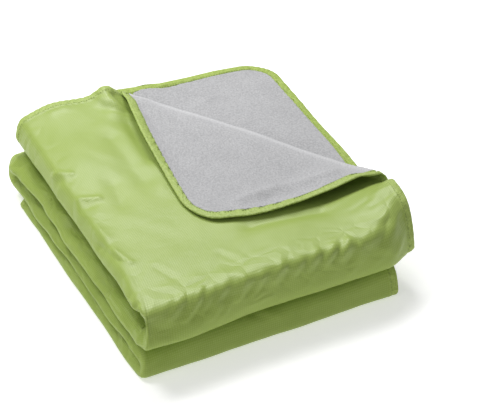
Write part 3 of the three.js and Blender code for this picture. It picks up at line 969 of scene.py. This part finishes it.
def makeShellMaterial(s):
    # woven cloth with a fine raised grid, faint crinkles, puckered hems and slow changes of colour
    material, nodes, links, shader = newMaterial("shellWeave")
    uv = node(nodes, "ShaderNodeUVMap", uv_map="flat").outputs["UV"]
    place = node(nodes, "ShaderNodeSeparateXYZ")
    links.new(uv, place.inputs["Vector"])
    fromRight, fromBack = place.outputs["X"], place.outputs["Y"]
    edge = node(nodes, "ShaderNodeAttribute", attribute_name="hemDistance").outputs["Fac"]
    inHem = curve(nodes, links, edge, 12.0, 20.0, 1.0, 0.0)

    # the grid: thin lines at the low points of a zigzag each way
    scaled = node(nodes, "ShaderNodeMapping")
    scaled.inputs["Scale"].default_value = (1 / s["threadSpacing"], 1 / s["threadSpacing"], 1)
    links.new(uv, scaled.inputs["Vector"])
    split = node(nodes, "ShaderNodeSeparateXYZ")
    links.new(scaled.outputs["Vector"], split.inputs["Vector"])
    lines = []
    for axis in ("X", "Y"):
        wave = combine(nodes, links, "PINGPONG", split.outputs[axis], 0.5)
        lines.append(curve(nodes, links, wave, 0.04, 0.17, 1.0, 0.0))
    grid = combine(nodes, links, "MAXIMUM", lines[0], lines[1])

    plain = blend(nodes, links, noise(nodes, links, uv, 9.0, 3.0), s["light"], s["dark"])
    woven = blend(nodes, links, combine(nodes, links, "MULTIPLY", grid, s["lineShare"]), plain, s["lines"])
    # paler specks at random places, only within the hem
    hemSpeckNoise = curve(nodes, links, noise(nodes, links, uv, 210.0), 0.4, 0.65, 0.0, 0.6)
    specks = combine(nodes, links, "MULTIPLY", hemSpeckNoise, inHem)
    links.new(blend(nodes, links, specks, woven, s["specks"]), shader.inputs["Base Color"])

    # crinkles: bent cells with low walls, deep on the upper front fold and on the left folds and faint
    # elsewhere; these zones are in metres on the flat cloth
    atFront = combine(nodes, links, "MULTIPLY", curve(nodes, links, fromBack, 0.50, 0.53, 0.0, 1.0),
                      curve(nodes, links, fromBack, 0.56, 0.60, 0.45, 0.12))
    atLeft = combine(nodes, links, "MULTIPLY", curve(nodes, links, fromRight, 0.475, 0.505, 0.0, 1.0),
                     curve(nodes, links, fromRight, 0.52, 0.56, 0.25, 0.8))
    folds = combine(nodes, links, "ADD", combine(nodes, links, "MAXIMUM", atFront, atLeft), 0.08)
    bent = node(nodes, "ShaderNodeVectorMath", operation="MULTIPLY_ADD")
    bent.inputs[1].default_value = (s["creaseBend"], s["creaseBend"], s["creaseBend"])
    links.new(noise(nodes, links, uv, 14.0, output="Color"), bent.inputs[0])
    links.new(uv, bent.inputs[2])
    cells = node(nodes, "ShaderNodeTexVoronoi", feature="DISTANCE_TO_EDGE")
    cells.inputs["Scale"].default_value = s["creaseScale"]
    links.new(bent.outputs["Vector"], cells.inputs["Vector"])
    crinkles = combine(nodes, links, "MULTIPLY", cells.outputs["Distance"], folds)
    pucker = combine(nodes, links, "MULTIPLY", noise(nodes, links, uv, s["puckerScale"]), inHem)
    normal = relief(nodes, links, crinkles, s["creaseHeight"])
    normal = relief(nodes, links, pucker, s["puckerHeight"], normal)
    links.new(relief(nodes, links, grid, s["threadHeight"], normal), shader.inputs["Normal"])

    # the hems are rougher, and the cloth shines less past the top, at the left and at the front
    roughness = curve(nodes, links, edge, 12.0, 17.0, s["hemRoughness"], s["roughness"])
    links.new(roughness, shader.inputs["Roughness"])
    shine = combine(nodes, links, "MINIMUM", curve(nodes, links, fromRight, 0.505, 0.54, 0.7, 0.25),
                    curve(nodes, links, fromBack, 0.54, 0.58, 0.7, 0.2))
    links.new(shine, shader.inputs["Specular IOR Level"])
    shader.inputs["Sheen Weight"].default_value = s["sheen"]
    shader.inputs["Sheen Roughness"].default_value = 0.4
    return material


fleeceLook = {
    "pale": (0.475, 0.475, 0.483),
    "deep": (0.352, 0.352, 0.36),
    "crestHighlight": (0.585, 0.585, 0.595),  # painted highlight: paler along the fold's crest, where the roll catches the light
    "pileScale": 330.0,
    "tuftScale": 160.0,
    "patchScale": 28.0,
    "pileHeight": 0.0012,
    "roughness": 0.95,
    "sheen": 0.3,
}


def makeFleeceMaterial(s):
    # brushed pile: tufts of two sizes over soft patches, with a painted highlight along the fold's crest, and
    # a sheen
    material, nodes, links, shader = newMaterial("fleecePile")
    uv = node(nodes, "ShaderNodeUVMap", uv_map="flat").outputs["UV"]
    pile = noise(nodes, links, uv, s["pileScale"])
    tufts = noise(nodes, links, uv, s["tuftScale"], 3.0)
    patches = noise(nodes, links, uv, s["patchScale"], 3.0)
    fine = combine(nodes, links, "ADD", combine(nodes, links, "MULTIPLY", pile, 0.7),
                   combine(nodes, links, "MULTIPLY", tufts, 0.3))
    both = combine(nodes, links, "ADD", combine(nodes, links, "MULTIPLY", fine, 0.85),
                   combine(nodes, links, "MULTIPLY", patches, 0.15))
    tone = curve(nodes, links, both, 0.36, 0.64, 0.0, 1.0)
    # painted highlight: the colour turns paler along the fold's crest, in place of the light on the roll
    crestHighlight = node(nodes, "ShaderNodeAttribute", attribute_name="foldCrestHighlight").outputs["Fac"]
    colour = blend(nodes, links, crestHighlight, blend(nodes, links, tone, s["deep"], s["pale"]), s["crestHighlight"])
    links.new(colour, shader.inputs["Base Color"])
    links.new(relief(nodes, links, fine, s["pileHeight"]), shader.inputs["Normal"])
    shader.inputs["Roughness"].default_value = s["roughness"]
    shader.inputs["Specular IOR Level"].default_value = 0.2
    shader.inputs["Sheen Weight"].default_value = s["sheen"]
    shader.inputs["Sheen Roughness"].default_value = 0.6
    return material


threadLook = {
    "colour": (0.13, 0.185, 0.04),
    "paler": (0.195, 0.2775, 0.06),
    "roughness": 0.6,
    "plyScale": 900.0,
    "plyHeight": 0.0002,
}


def makeThreadMaterial(s):
    # twisted sewing thread: a slow change of tone and the fine ridges of its plies
    material, nodes, links, shader = newMaterial("sewingThread")
    place = node(nodes, "ShaderNodeTexCoord").outputs["Object"]
    plies = noise(nodes, links, place, s["plyScale"])
    links.new(blend(nodes, links, plies, s["colour"], s["paler"]), shader.inputs["Base Color"])
    links.new(relief(nodes, links, plies, s["plyHeight"]), shader.inputs["Normal"])
    shader.inputs["Roughness"].default_value = s["roughness"]
    return material


shell.data.materials.append(makeShellMaterial(shellLook))
thread.data.materials.append(makeThreadMaterial(threadLook))
lining.data.materials.append(makeFleeceMaterial(fleeceLook))

# the sheets' flat sizes are in metres, as a mean over the layers
for piece, name, size in [(shell, "shell", (1.96, 2.234)), (lining, "lining", (1.93, 2.2))]:
    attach(piece, "root")
    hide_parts(name)
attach(thread, "root")
print("pieces declared")

stage = {
    "floor": 0.8,
    "floorSize": 24.0,  # metres
    "glow": 0.48,  # a light table's own light, which keeps its shadows pale
    "world": 0.26,
    "middle": (0.0, 0.0, 0.1),  # what the lights look at
    # for each light: how far it is turned from the camera and how high it stands, in degrees,
    # and its distance, size and power
    "key": {"turn": 186.0, "rise": 61.0, "distance": 2.6, "size": 1.0, "power": 41.0},
    "left": {"turn": -110.0, "rise": 62.0, "distance": 2.4, "size": 0.8, "power": 25.5},
    "fill": {"turn": -48.0, "rise": 32.0, "distance": 2.0, "size": 1.2, "power": 4.5},
}


def makeStage(s):
    # a wide floor that gives off a little light, under an even pale world
    half = s["floorSize"] / 2
    mesh = bpy.data.meshes.new("floor")
    points = [(-half, -half, 0), (half, -half, 0), (half, half, 0), (-half, half, 0)]
    mesh.from_pydata(points, [], [(0, 1, 2, 3)])
    floor = bpy.data.objects.new("floor", mesh)
    bpy.context.scene.collection.objects.link(floor)
    material, nodes, links, shader = newMaterial("floorPaper")
    shader.inputs["Base Color"].default_value = (s["floor"], s["floor"], s["floor"], 1)
    shader.inputs["Roughness"].default_value = 0.9
    shader.inputs["Specular IOR Level"].default_value = 0.0
    shader.inputs["Emission Color"].default_value = (1, 1, 1, 1)
    shader.inputs["Emission Strength"].default_value = s["glow"]
    mesh.materials.append(material)
    world = bpy.data.worlds.new("studio")
    world.use_nodes = True
    world.node_tree.nodes["Background"].inputs["Color"].default_value = (1, 1, 1, 1)
    world.node_tree.nodes["Background"].inputs["Strength"].default_value = s["world"]
    bpy.context.scene.world = world
    bpy.context.scene.view_settings.view_transform = "Standard"


def makeLight(name, s):
    # a square area light that looks at the middle of the stack from its side and height
    data = bpy.data.lights.new(name, "AREA")
    data.size = s["size"]
    data.energy = s["power"]
    a, e = math.radians(camera["azimuth"] + s["turn"]), math.radians(s["rise"])
    way = Vector((math.sin(a) * math.cos(e), -math.cos(a) * math.cos(e), math.sin(e)))
    obj = bpy.data.objects.new(name, data)
    bpy.context.scene.collection.objects.link(obj)
    obj.location = way * s["distance"] + Vector(stage["middle"])
    obj.rotation_euler = way.to_track_quat("Z", "Y").to_euler()


makeStage(stage)
makeLight("keyLight", stage["key"])
makeLight("leftLight", stage["left"])
makeLight("fillLight", stage["fill"])
print("stage made")
